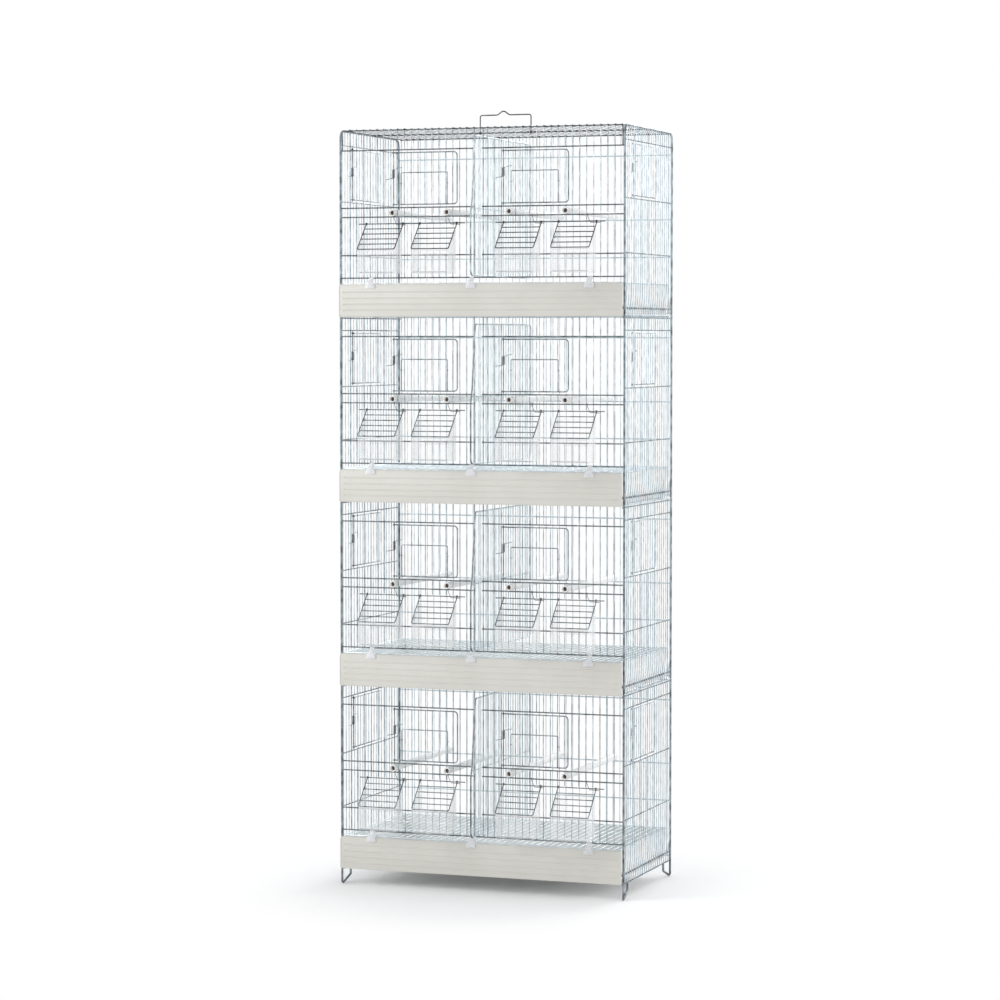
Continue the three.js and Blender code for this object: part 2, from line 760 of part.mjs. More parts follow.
const cupColumns = { a: -flapCentres[1], b: -flapCentres[0], c: flapCentres[0], d: flapCentres[1] };
for (let tier = 0; tier < tierCount; tier++) {
  const base = [0, 0, tier * tierPitch];
  const number = tier + 1;
  add(`front_panel_${number}`, shapes.frontPanel, steel, base);
  add(`tray_${number}`, shapes.tray, whitePlastic, base);
  add(`floor_grid_${number}`, shapes.floorGrid, steel, base);
  add(`divider_${number}`, shapes.divider, steel, base);
  for (const { side } of compartments) {
    add(`front_door_${number}_${side}`, shapes.frontDoor[side], steel, base);
    add(`side_door_${number}_${side}`, shapes.sideDoor[side], steel, base);
    const rodPlace = [0, flapRodLayer, base[2] + flapRodHeight];
    const flaps = add(`feeder_flaps_${number}_${side}`, shapes.flaps[side], steel, rodPlace);
    flaps.rotation.x = -THREE.MathUtils.degToRad(flapLean);
  }
  for (const [column, place] of Object.entries(cupColumns)) {
    add(`feeder_cup_${number}_${column}`, shapes.cup, clearPlastic, [place, 0, base[2]]);
  }
}

// The frame's origin lies on the floor under the middle of the whole rack.
const extent = new THREE.Box3().setFromObject(rack);
rack.position.y = -(extent.min.y + extent.max.y) / 2;
const group = new THREE.Group();
group.add(rack);

export default group;
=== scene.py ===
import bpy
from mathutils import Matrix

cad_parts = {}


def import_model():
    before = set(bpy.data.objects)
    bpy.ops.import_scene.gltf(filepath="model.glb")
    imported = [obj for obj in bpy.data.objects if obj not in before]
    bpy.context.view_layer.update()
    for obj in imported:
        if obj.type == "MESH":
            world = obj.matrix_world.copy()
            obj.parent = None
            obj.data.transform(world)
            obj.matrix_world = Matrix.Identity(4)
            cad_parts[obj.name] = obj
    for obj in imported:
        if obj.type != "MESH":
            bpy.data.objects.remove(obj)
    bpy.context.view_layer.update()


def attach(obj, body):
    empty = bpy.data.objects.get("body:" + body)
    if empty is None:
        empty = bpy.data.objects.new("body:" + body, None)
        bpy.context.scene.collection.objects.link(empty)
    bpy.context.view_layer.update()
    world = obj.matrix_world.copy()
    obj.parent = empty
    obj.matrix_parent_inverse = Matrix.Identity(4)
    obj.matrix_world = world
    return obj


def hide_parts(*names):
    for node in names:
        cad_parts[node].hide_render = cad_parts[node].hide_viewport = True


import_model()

import math

import bmesh
import bpy
import numpy as np
from mathutils import Vector

# ---- Sizes and the numbers of finishes -----------------------------------------------------------

FORWARD = -133.63926  # from the front of the cages to the frame's origin
TIERS = (1, 2, 3, 4)
PITCH = 369.6
DEPTH = 318.0
HEIGHT = 406.6

# Radii of the wires, from the posts down to the door springs.
POST, RAIL, SIDE_RAIL, RUNNER = 2.25, 1.3, 1.1, 1.6
LEAF, ROD, MESH, FINE = 1.2, 1.0, 0.95, 0.6
BAR_PITCH, SIDE_PITCH = 14.63, 14.6
SINK = 0.15  # how far two welded wires sink into each other
LAP = 1  # how far a bar runs past the middle of the rail that it is welded to
DIP = 0.1  # how far the middle of a weld lies under the rail's surface
STUD = 1.7  # size of the larger welds and of the studs that end the tray's ribs
ROUND = 10  # sides of the thicker wires
PAINTED_LIGHT = 1  # number of a wire piece's second finish: the same zinc made paler as painted light
CLIP, BODY = 1, 2  # numbers of the tray's further finishes: the clips, and the body in a paler copy of the front's plastic as painted light
EDGE, FOOT = 1, 2  # numbers of a cup's further finishes: rim beads in near-opaque white as a painted highlight, and a grey foot bead as painted shade
SHADED_MOUTH = 1  # number of the dark finish inside a perch's mouth, painted shade

GATE_Z, CUP_Z, PERCH_Z, SILL_Z, HEAD_Z = 110.6, 155.4, 231.5, 249.7, 363.9  # front rails
TOP_Z = HEIGHT - 2 * MESH - RAIL + SINK  # rails under the roof's bars
FRONT_Y = RAIL
TOP_RAIL_Y = 3.0
RAIL_END = 296
CROWN_X = 293.6  # uprights that close the top cage's front corners
BAR_Y = 2 * RAIL + MESH - SINK
SLOT = (-12.0, 4.0)
PANEL_X = 292.4
BAR_REACH = 287.2

SIDE_X = 297.75  # middle of the side frames
SIDE_RAIL_X = 296.9
SIDE_BAR_X = 299.03
FOOT_X = 294.2
SIDE_RAILS = (157.0, 263.5, 376.0)
SIDE_CORNER = 16.0
RUNNER_X, RUNNER_INSET = 294.7, 2.4
KNEE_X, KNEE_LOW, KNEE_HIGH, KNEE_RADIUS = 297.15, 6, 26, 30  # the bars' bend outwards above the runner
RUNNER_Z, SKIRT_Z, SKIRT_END = 49.5, 31.0, 38.0
FOOT_TOP = 37.5
BACK_RAILS = (155.0, 231.0, 361.5)
BACK_SKIRT = 41.3
ROOF_RAILS = (159.5, DEPTH - 6.4)

DOORS = {"left": (-184.4, -47.4), "right": (47.4, 184.4)}
DOOR_Z = (254.6, 359.5)
SIDE_DOOR_X = 296.8
SIDE_DOOR_Y = (60.0, 213.0)
SIDE_DOOR_Z = (268.4, 371.6)
HINGE_INSET = 1.8  # from the rails' middles to the ends of a hinge wire
LEAF_BAR, LEAF_INSET = 0.9, 0.6  # from the leaf's middle and edges to its bars

ROD_Y, ROD_Z = 0.986, 218.0
FLAPS = (88.2, 202.2)
FLAP_WIDTH, FLAP_LENGTH, FLAP_LEAN = 81.0, 72.4, math.radians(44)
CUPS = {"a": -202.2, "b": -88.2, "c": 88.2, "d": 202.2}
HOOK_OFFSET = 20
PERCHES = {"a": -185.0, "b": -69.5, "c": 61.3, "d": 177.8}

# ---- Forms ---------------------------------------------------------------------------------------


class Form:
    """Points in millimetres and faces of one mesh, each face with the number of its finish."""

    def __init__(self):
        self.points, self.faces, self.finishes = [], [], []

    def add(self, points, faces, finish=0):
        first = len(self.points)
        self.points.extend(tuple(float(v) for v in p) for p in points)
        self.faces.extend(tuple(first + i for i in face) for face in faces)
        self.finishes.extend([finish] * len(faces))

    def add_bmesh(self, bm, finish=0):
        bm.verts.index_update()
        self.add([v.co for v in bm.verts], [[v.index for v in f.verts] for f in bm.faces], finish)
        bm.free()

    def mirrored(self):
        twin = Form()
        twin.points = [(-x, y, z) for x, y, z in self.points]
        twin.faces = [tuple(reversed(face)) for face in self.faces]
        twin.finishes = list(self.finishes)
        return twin

    def mesh(self, name, finishes, smooth_angle=38.0):
        data = bpy.data.meshes.new(name)
        places = [(x / 1000, (y + FORWARD) / 1000, z / 1000) for x, y, z in self.points]
        data.from_pydata(places, [], self.faces)
        for finish in finishes:
            data.materials.append(finish)
        data.polygons.foreach_set("material_index", self.finishes)
        data.polygons.foreach_set("use_smooth", [True] * len(self.faces))
        data.set_sharp_from_angle(angle=math.radians(smooth_angle))
        data.update()
        return data


def unit(v):
    return v / np.linalg.norm(v)


def rounded(points, radius, steps=4, closed=False):
    """A polyline whose corners are turned with a radius, which gives way where a stretch is short."""
    points = [np.array(p, float) for p in points]
    count = len(points)
    route = []
    for i, here in enumerate(points):
        if not closed and i in (0, count - 1):
            route.append(here)
            continue
        before, after = points[i - 1], points[(i + 1) % count]
        back, on = unit(before - here), unit(after - here)
        half = math.acos(max(-1.0, min(1.0, float(back @ on)))) / 2
        if half > math.radians(88):
            route.append(here)
            continue
        room = 0.48 * min(np.linalg.norm(before - here), np.linalg.norm(after - here))
        reach = min(radius / math.tan(half), room)
        turn = reach * math.tan(half)
        middle = here + unit(back + on) * turn / math.sin(half)
        start, end = here + back * reach - middle, here + on * reach - middle
        sweep = math.pi - 2 * half
        for k in range(steps + 1):
            t = k / steps
            a, b = math.sin((1 - t) * sweep) / math.sin(sweep), math.sin(t * sweep) / math.sin(sweep)
            route.append(middle + start * a + end * b)
    return route


def band(a, b, sides):
    """The faces between two rings of points, numbered from a and from b."""
    return [(a + j, a + (j + 1) % sides, b + (j + 1) % sides, b + j) for j in range(sides)]


def tube(form, route, radius, sides=8, closed=False, finish=0):
    """A round wire along a route, with softened cut ends."""
    path = [np.array(p, float) for p in route]
    radii = [radius] * len(path)
    if not closed:
        chamfer = 0.4 * radius
        first, last = unit(path[1] - path[0]) * chamfer, unit(path[-2] - path[-1]) * chamfer
        path = [path[0], path[0] + first, *path[1:-1], path[-1] + last, path[-1]]
        radii = [0.6 * radius, *[radius] * (len(path) - 2), 0.6 * radius]
    path = np.array(path)
    count = len(path)
    steps = np.diff(np.vstack([path, path[:1]]), axis=0)[: count if closed else count - 1]
    steps /= np.linalg.norm(steps, axis=1)[:, None]
    if closed:
        tangents = steps + np.roll(steps, 1, axis=0)
    else:
        tangents = np.vstack([steps[:1], steps[:-1] + steps[1:], steps[-1:]])
    tangents /= np.linalg.norm(tangents, axis=1)[:, None]
    side = np.eye(3)[int(np.argmin(np.abs(tangents[0])))]
    angles = np.arange(sides) * 2 * math.pi / sides
    points = []
    for centre, tangent, r in zip(path, tangents, radii):
        side = unit(side - tangent * (side @ tangent))
        up = np.cross(tangent, side)
        points.extend(centre + r * (math.cos(a) * side + math.sin(a) * up) for a in angles)
    faces = []
    for i in range(count if closed else count - 1):
        faces += band(i * sides, (i + 1) % count * sides, sides)
    if not closed:
        faces.append(tuple(reversed(range(sides))))
        faces.append(tuple(range((count - 1) * sides, count * sides)))
    form.add(points, faces, finish)


def rod(form, start, end, radius, sides=8, finish=0):
    tube(form, [start, end], radius, sides, finish=finish)


def weld(form, place, size=1.25, squash=(1.0, 0.8, 1.0)):
    """The small pressed spot where two wires are welded."""
    rows, sides = 3, 6
    points = [np.array(place) + np.array([0, 0, -size * squash[2]])]
    for i in range(1, rows):
        angle = math.pi * i / rows
        r, z = size * math.sin(angle), -size * math.cos(angle)
        for j in range(sides):
            turn = 2 * math.pi * j / sides
            points.append(np.array(place) + np.array([r * math.cos(turn), r * math.sin(turn), z]) * squash)
    points.append(np.array(place) + np.array([0, 0, size * squash[2]]))
    faces = [(0, 1 + (j + 1) % sides, 1 + j) for j in range(sides)]
    for i in range(rows - 2):
        faces += band(1 + i * sides, 1 + (i + 1) * sides, sides)
    last, top = 1 + (rows - 2) * sides, len(points) - 1
    faces += [(last + j, last + (j + 1) % sides, top) for j in range(sides)]
    form.add(points, faces)


def coil(form, centre, axis, radius, gauge, length, turns, sides=6):
    """A helix of wire about a line, from centre along axis. Gives back the point where the wire starts."""
    axis = unit(np.array(axis, float))
    side = unit(np.cross(axis, np.eye(3)[int(np.argmin(np.abs(axis)))]))
    up = np.cross(axis, side)
    count = int(turns * 12)
    route = []
    for i in range(count + 1):
        angle = 2 * math.pi * turns * i / count
        outward = radius * (math.cos(angle) * side + math.sin(angle) * up)
        route.append(np.array(centre) + axis * length * i / count + outward)
    tube(form, route, gauge, sides)
    return route[0]


def soften(bm, offset, segments):
    """All sharp edges made round."""
    bmesh.ops.recalc_face_normals(bm, faces=bm.faces)
    sharp = [e for e in bm.edges if e.calc_face_angle(0) > math.radians(25)]
    settings = {"profile": 0.5, "affect": "EDGES", "clamp_overlap": True}
    bmesh.ops.bevel(bm, geom=sharp, offset=offset, segments=segments, **settings)


def prism(form, outline, low, high, axis, bevel, segments=2, finish=0):
    """An outline pushed along x or y, its edges softened. It gives the other two axes in order."""
    bm = bmesh.new()

    def ring(depth):
        return [bm.verts.new((depth, u, v) if axis == "x" else (u, depth, v)) for u, v in outline]

    near, far = ring(low), ring(high)
    bm.faces.new(near)
    bm.faces.new(far[::-1])
    for i in range(len(outline)):
        j = (i + 1) % len(outline)
        bm.faces.new([near[j], near[i], far[i], far[j]])
    soften(bm, bevel, segments)
    form.add_bmesh(bm, finish)


def rectangle(x, y, radii=(0, 0, 0, 0), steps=4):
    """A rectangle between limits, anticlockwise from its low left corner, each corner with a radius."""
    corners = [(x[0], y[0]), (x[1], y[0]), (x[1], y[1]), (x[0], y[1])]
    outline = []
    for i, (corner, radius) in enumerate(zip(corners, radii)):
        if not radius:
            outline.append(corner)
            continue
        inward = (1 if i in (0, 3) else -1, 1 if i in (0, 1) else -1)
        centre = (corner[0] + inward[0] * radius, corner[1] + inward[1] * radius)
        for k in range(steps + 1):
            angle = math.pi * (1 + i / 2) + math.pi / 2 * k / steps
            outline.append((centre[0] + radius * math.cos(angle), centre[1] + radius * math.sin(angle)))
    return outline


def places(low, high, pitch, middle=0.0):
    """Places of bars between two limits, in step with one in the middle."""
    first = math.ceil((low - middle) / pitch)
    last = math.floor((high - middle) / pitch)
    return [middle + k * pitch for k in range(first, last + 1)]


def within(value, span):
    """Whether a value lies between the two ends of a span."""
    return span[0] < value < span[1]


# ---- Wire panels ---------------------------------------------------------------------------------


def flap_spans(sign):
    """The stretches that the two flaps on one side take up across the front."""
    return [tuple(sorted((sign * c - FLAP_WIDTH / 2, sign * c + FLAP_WIDTH / 2))) for c in FLAPS]


def front_panel(crowned):
    """Rails, bars and the edges of the divider's slot. The top cage's panel also closes its upper corners."""
    form = Form()
    rod(form, (-RAIL_END, FRONT_Y, GATE_Z), (RAIL_END, FRONT_Y, GATE_Z), RAIL, ROUND)
    if crowned:
        corners = [(-CROWN_X, HEAD_Z), (-CROWN_X, TOP_Z), (CROWN_X, TOP_Z), (CROWN_X, HEAD_Z)]
        tube(form, rounded([(x, TOP_RAIL_Y, z) for x, z in corners], 4.0), RAIL, ROUND)
    else:
        rod(form, (-PANEL_X, TOP_RAIL_Y, TOP_Z), (PANEL_X, TOP_RAIL_Y, TOP_Z), ROD, ROUND, PAINTED_LIGHT)
    slot_lap, slot_margin = 0.6, 5.2
    for sign, side, edge in ((-1, "left", SLOT[0]), (1, "right", SLOT[1])):
        slot_x = edge + sign * RAIL
        slot_y = 2 * RAIL + RAIL - SINK
        rod(form, (slot_x, slot_y, GATE_Z - LAP / 2), (slot_x, slot_y, TOP_Z + LAP), RAIL, ROUND, PAINTED_LIGHT)
        for z in (CUP_Z, PERCH_Z, SILL_Z, HEAD_Z):
            rod(form, (edge - sign * slot_lap, FRONT_Y, z), (sign * RAIL_END, FRONT_Y, z), RAIL, ROUND)
            weld(form, (slot_x, slot_y - RAIL, z), STUD)
        spans = flap_spans(sign)
        door = DOORS[side]
        low, high = sorted((edge + sign * slot_margin, sign * BAR_REACH))
        for x in places(low, high, BAR_PITCH):
            over_flap = any(within(x, span) for span in spans)
            foot = ROD_Z + 2 * LAP if over_flap else GATE_Z - LAP
            if within(x, door):
                rod(form, (x, BAR_Y, HEAD_Z - LAP), (x, BAR_Y, TOP_Z + LAP), MESH, finish=PAINTED_LIGHT)
                rod(form, (x, BAR_Y, foot), (x, BAR_Y, SILL_Z + LAP), MESH, finish=PAINTED_LIGHT)
            else:
                rod(form, (x, BAR_Y, foot), (x, BAR_Y, TOP_Z + LAP), MESH, finish=PAINTED_LIGHT)
            if over_flap:
                rod(form, (x, BAR_Y, GATE_Z - LAP), (x, BAR_Y, CUP_Z + 1.2 * LAP), MESH, finish=PAINTED_LIGHT)
            for z in (GATE_Z, CUP_Z, PERCH_Z, SILL_Z, HEAD_Z):
                weld(form, (x, 2 * RAIL - DIP, z))
    return form


def side_panel(lowest, crowned):
    """The right side of one cage. Only the lowest stands on hooked feet and only the top one has rounded
    corners: between them the posts run straight past the joints."""
    form = Form()
    front, back, top = POST, DEPTH - POST, HEIGHT - POST
    heel, toe, toe_z = 3.2, 36.0, 15.0
    middle, sides = HEIGHT / 2, 12
    for post, inward in ((front, 1), (back, -1)):
        start = [(SIDE_X, post, FOOT_TOP - LAP)]
        if lowest:
            hook = [
                (FOOT_X, post + inward * toe, SKIRT_Z - LAP),
                (FOOT_X, post + inward * toe, toe_z),
                (SIDE_X - 1.2, post + inward * heel, POST - 0.1),
                (SIDE_X, post, POST + 2.6),
            ]
            start = rounded([*hook, (SIDE_X, post, middle)], 2.4)[:-1]
        if crowned:
            bend = [(SIDE_X, post, middle), (SIDE_X, post, top), (SIDE_X, DEPTH / 2, top)]
            tube(form, [*start, *rounded(bend, SIDE_CORNER, 8)], POST, sides)
        else:
            tube(form, [*start, (SIDE_X, post, HEIGHT - 0.2)], POST, sides)
    if not crowned:
        edge_z = HEIGHT - 1.1
        rod(form, (SIDE_BAR_X, POST, edge_z), (SIDE_BAR_X, DEPTH - POST, edge_z), MESH, 8, PAINTED_LIGHT)
    for z in SIDE_RAILS:
        rod(form, (SIDE_RAIL_X, POST, z), (SIDE_RAIL_X, DEPTH - POST, z), SIDE_RAIL, ROUND)
    for x, z, radius in ((RUNNER_X, RUNNER_Z, RUNNER), (FOOT_X, SKIRT_Z, RAIL)):
        rod(form, (x, RUNNER_INSET, z), (x, DEPTH - RUNNER_INSET, z), radius, ROUND)
    low_x, low = (296.3, SKIRT_Z - 1.2) if lowest else (296.9, SKIRT_END)
    bar_top = HEIGHT - 2.4
    for y in places(4 * POST, DEPTH - 4 * POST, SIDE_PITCH, DEPTH / 2):
        knee = [(low_x, y, low), (KNEE_X, y, RUNNER_Z + KNEE_LOW), (SIDE_BAR_X, y, RUNNER_Z + KNEE_HIGH)]
        beside_door = not within(y, SIDE_DOOR_Y)
        end = bar_top if beside_door else SIDE_RAILS[1] + LAP
        tube(form, rounded([*knee, (SIDE_BAR_X, y, end)], KNEE_RADIUS), MESH, finish=PAINTED_LIGHT)
        if not beside_door:
            rod(form, (SIDE_BAR_X, y, SIDE_RAILS[2] - LAP), (SIDE_BAR_X, y, bar_top), MESH, finish=PAINTED_LIGHT)
        for z in SIDE_RAILS:
            weld(form, (SIDE_RAIL_X + RAIL - DIP, y, z), squash=(0.8, 1.0, 1.0))
    return form


def back_panel():
    """Rails with bars in front of them, and a thicker upright at each end."""
    form = Form()
    y = DEPTH - RAIL
    for z in (BACK_SKIRT, *BACK_RAILS):
        rod(form, (-RAIL_END, y, z), (RAIL_END, y, z), RAIL, ROUND)
    rod(form, (-PANEL_X, y, TOP_Z), (PANEL_X, y, TOP_Z), RAIL, ROUND)
    bar_y = DEPTH - BAR_Y
    for x in places(-BAR_REACH, BAR_REACH, BAR_PITCH):
        rod(form, (x, bar_y, BACK_SKIRT - LAP), (x, bar_y, TOP_Z + LAP), MESH)
        for z in (BACK_SKIRT, *BACK_RAILS):
            weld(form, (x, DEPTH - 2 * RAIL + DIP, z))
    for sign in (-1, 1):
        x = sign * (PANEL_X - RAIL)
        rod(form, (x, bar_y, BACK_SKIRT - LAP), (x, bar_y, TOP_Z + LAP), RAIL)
    return form


def roof(handled):
    """Bars with a hooked front end over the cross rails, and on the top cage the carrying handle."""
    form = Form()
    inset = 5.0
    for y in ROOF_RAILS:
        rod(form, (-PANEL_X, y, TOP_Z), (PANEL_X, y, TOP_Z), RAIL, ROUND)
    for sign in (-1, 1):
        x = sign * (PANEL_X - RAIL)
        rod(form, (x, inset, TOP_Z + RAIL), (x, DEPTH - inset, TOP_Z + RAIL), RAIL, ROUND)
    z = HEIGHT - MESH
    for x in places(-BAR_REACH, BAR_REACH, BAR_PITCH):
        hooked_end = [(MESH, z - 3.4), (MESH, z - 0.2), (inset, z), (DEPTH - 1.2, z)]
        tube(form, rounded([(x, y, height) for y, height in hooked_end], 1.5, 3), MESH)
        for y in ROOF_RAILS:
            weld(form, (x, y, TOP_Z + RAIL), squash=(1.0, 1.0, 0.8))
    if handled:
        add_handle(form)
    return form


def add_handle(form):
    """A wire with a raised grip, whose legs end in a turn round the roof's middle rail."""
    centre, half, peak, y = -4.0, 54.2, HEIGHT + 32.7, ROOF_RAILS[0]
    grip, half_grip, rise, steps = centre - 4.5, 15.0, 7.5, 12
    corner, leg_end = 4.0, TOP_Z + 2.5
    legs = [(centre - half, y, leg_end), (centre - half, y, peak), (grip - half_grip, y, peak)]
    hump = []
    for k in range(1, steps):
        x = grip - half_grip + 2 * half_grip * k / steps
        hump.append((x, y, peak + rise * math.sin(math.pi * k / steps) ** 2))
    rest = [(grip + half_grip, y, peak), (centre + half, y, peak), (centre + half, y, leg_end)]
    tube(form, [*rounded(legs, corner), *hump, *rounded(rest, corner)], RAIL, ROUND)
    turn_length = 2.4
    for sign in (-1, 1):
        start = (centre + sign * half - turn_length / 2, y, TOP_Z)
        coil(form, start, (1, 0, 0), 2.4, ROD, turn_length, 1.2, sides=8)


def floor_grid():
    """A ring with bars welded on it from front to back, and two cross wires under them."""
    form = Form()
    z, x, front, back = 99.1, 291.7, 2.3, 309.7
    past, above, below = 0.6, 0.35, 0.3
    ring = [(-x, front, z), (x, front, z), (x, back, z), (-x, back, z)]
    tube(form, rounded(ring, 3.0, closed=True), RAIL, ROUND, closed=True)
    for bar in places(-BAR_REACH, BAR_REACH, BAR_PITCH):
        rod(form, (bar, front - past, z + above), (bar, back + past, z + above), MESH)
    for y in (105.0, 208.0):
        rod(form, (-x, y, z - below), (x, y, z - below), MESH, 8)
    return form


def divider():
    """A bent frame with bars, whose front edge stands out of the cage as a pull."""
    form = Form()
    x, low, top, back = -4.0, 114.2, 387.9, 312.0
    brow, chin, nose_y = (-18.9, top), (-34.5, 260.0), -42.5
    bends = [(back, low), (back, top), brow, chin, (nose_y, 236.0), (nose_y, low)]
    outline = rounded([(x, y, z) for y, z in bends], 10.0, 6, closed=True)
    nose = [p for p in outline if p[1] < 0]
    rear = [p for p in outline if p[1] >= 0]
    frame_radius, rear_radius, overlap = 1.6, 1.5, (0, 1.5, 0)
    tube(form, nose, frame_radius, ROUND)
    tube(form, [nose[-1] - overlap, *rear, nose[0] - overlap], rear_radius, ROUND, finish=PAINTED_LIGHT)
    rod(form, (x - 1.0, -38.6, 246.0), (x - 1.0, back, 246.0), MESH, finish=PAINTED_LIGHT)
    full_front, nose_front, nose_top = -20.8, -40.0, 262.0
    bars = [(y, top) for y in places(full_front, back - 4, SIDE_PITCH, DEPTH / 2)]
    bars += [(y, nose_top) for y in places(nose_front, full_front - 0.1, SIDE_PITCH, DEPTH / 2)]
    for y, high in bars:
        rod(form, (x + 0.75, y, low), (x + 0.75, y, high), MESH, finish=PAINTED_LIGHT)
    return form


# ---- Doors ---------------------------------------------------------------------------------------


def spring_arm(form, route):
    """Spring wire with tight bends."""
    tube(form, rounded(route, 1.2, 3), FINE, 6)


def leaf_loops(form, hinge, heights, radius):
    """The turns that hold a leaf's upper and lower wire on its hinge wire."""
    for z in heights:
        coil(form, (*hinge, z - 1.1), (0, 0, 1), radius, MESH, 2.2, 1.25, sides=8)


def front_door(side):
    """A leaf of bars in a bent wire looped onto its hinge wire, with its small gate and the spring's
    upper arm."""
    form = Form()
    left, right = DOORS[side]
    low, high = DOOR_Z
    y, hinge = LEAF, left + LEAF
    ends = (low + LEAF, high - LEAF)
    rod(form, (hinge, y, SILL_Z + HINGE_INSET), (hinge, y, HEAD_Z - HINGE_INSET), LEAF)
    near, far = hinge + LEAF, right - LEAF
    leaf = [(near, y, ends[1]), (far, y, ends[1]), (far, y, ends[0]), (near, y, ends[0])]
    tube(form, rounded(leaf, 7.0, 5), LEAF, ROUND)
    leaf_loops(form, (hinge, y), ends, 2.1)
    bar_y = y + LEAF_BAR
    for x in places(left + 5, right - 4, BAR_PITCH):
        rod(form, (x, bar_y, low + LEAF_INSET), (x, bar_y, high - LEAF_INSET), MESH, finish=PAINTED_LIGHT)
        for z in ends:
            weld(form, (x, y + 0.6, z))
    gate_left, gate_right, gate_low, gate_top, gate_y = left + 17.5, left + 115.5, low + 1.8, low + 64, -0.6
    gate = [(gate_left, gate_low), (gate_left, gate_top), (gate_right, gate_top), (gate_right, gate_low)]
    tube(form, rounded([(x, gate_y, z) for x, z in gate], 2.0, 3), MESH)
    for x in (gate_left, gate_right):
        coil(form, (x, 0.2, gate_top - 22), (0, 0, 1), 1.7, FINE, 1.4, 1.3)
    spring_z, rise, reach, arm_y = 325.5, 3.1, 16.9, -1.1
    spring_arm(form, [
        (hinge + 2.2, y - 0.4, spring_z),
        (hinge + 8, arm_y, spring_z + 1.4),
        (hinge + reach, arm_y, spring_z + rise),
        (hinge + reach, 3.4, spring_z + rise),
    ])
    return form


def front_spring(side):
    """The coil on the hinge wire and the lower arm that hooks behind the next bar."""
    form = Form()
    hinge, reach, arm_y = DOORS[side][0] + LEAF, 15.4, -0.9
    start = coil(form, (hinge, LEAF, 308.0), (0, 0, 1), 2.45, FINE, 17.5, 10)
    end = hinge - reach
    spring_arm(form, [start, (hinge - 4, arm_y, 307.2), (end, arm_y, 305.3), (end, 3.0, 305.0)])
    return form


def side_door():
    """A leaf of bars whose lower wire is painted darker, as shade, with the spring's upper arm."""
    form = Form()
    front, back = SIDE_DOOR_Y
    low, high = SIDE_DOOR_Z
    x, hinge = SIDE_DOOR_X, front + LEAF
    ends = (low + LEAF, high - LEAF)
    rod(form, (x, hinge, SIDE_RAILS[1] + HINGE_INSET), (x, hinge, SIDE_RAILS[2] - HINGE_INSET), LEAF)
    near, far = hinge + LEAF, back - LEAF
    bends = rounded([(x, near, ends[1]), (x, far, ends[1]), (x, far, ends[0]), (x, near, ends[0])], 7.0, 5)
    sill = [p for p in bends if p[2] < ends[0] + 0.1]
    tube(form, bends[:len(bends) - len(sill) + 1], SIDE_RAIL, ROUND, finish=PAINTED_LIGHT)
    # The lower wire takes the darker zinc as painted shade.
    tube(form, sill, LEAF, ROUND)
    leaf_loops(form, (x, hinge), ends, 2.0)
    bar_x = x + LEAF_BAR
    for y in places(front + 4, back - 4, SIDE_PITCH, DEPTH / 2):
        rod(form, (bar_x, y, low + LEAF_INSET), (bar_x, y, high - LEAF_INSET), MESH, finish=PAINTED_LIGHT)
    arm_x, reach = x + 2.4, 16.5
    spring_arm(form, [
        (x + 0.4, hinge + 2.2, 333.5),
        (arm_x, hinge + 7, 334.5),
        (arm_x, hinge + reach, 336.2),
        (x - 0.6, hinge + reach, 336.2),
    ])
    return form


def side_spring():
    """The coil on the side door's hinge wire and its lower arm."""
    form = Form()
    x, hinge, reach = SIDE_DOOR_X, SIDE_DOOR_Y[0] + LEAF, 14.4
    start = coil(form, (x, hinge, 317.0), (0, 0, 1), 2.4, FINE, 16.5, 9)
    arm_x, end = x + 2.2, hinge - reach
    spring_arm(form, [start, (arm_x, hinge - 4, 316.6), (arm_x, end, 315.6), (x - 0.6, end, 315.4)])
    return form


# ---- Feeder flaps, cups and perches --------------------------------------------------------------


def flaps(sign):
    """Two wire flaps on one rod, leaning on the cups."""
    form = Form()
    ends = sorted((sign * 32.0, sign * 258.4))
    rod(form, (ends[0], ROD_Y, ROD_Z), (ends[1], ROD_Y, ROD_Z), ROD, 8)
    along = np.array([0.0, -math.sin(FLAP_LEAN), -math.cos(FLAP_LEAN)])
    pivot = np.array([0.0, ROD_Y, ROD_Z])
    length, cross_wires = FLAP_LENGTH - 1, 4
    for span in flap_spans(sign):
        left, right = span[0] + ROD, span[1] - ROD

        def at(x, down):
            return pivot + along * down + np.array([x, 0.0, 0.0])

        frame_route = [at(left, 1.6), at(left, length), at(right, length), at(right, 1.6)]
        tube(form, rounded(frame_route, 3.5, 4), ROD, 8)
        for x, inward in ((left, 0.6), (right, -0.6)):
            coil(form, (x + inward - 1.0, ROD_Y, ROD_Z), (1, 0, 0), 2.0, 0.9, 2.0, 1.3, sides=8)
        for i in range(1, cross_wires + 1):
            down = length * i / (cross_wires + 1)
            rod(form, at(left, down), at(right, down), MESH)
    return form


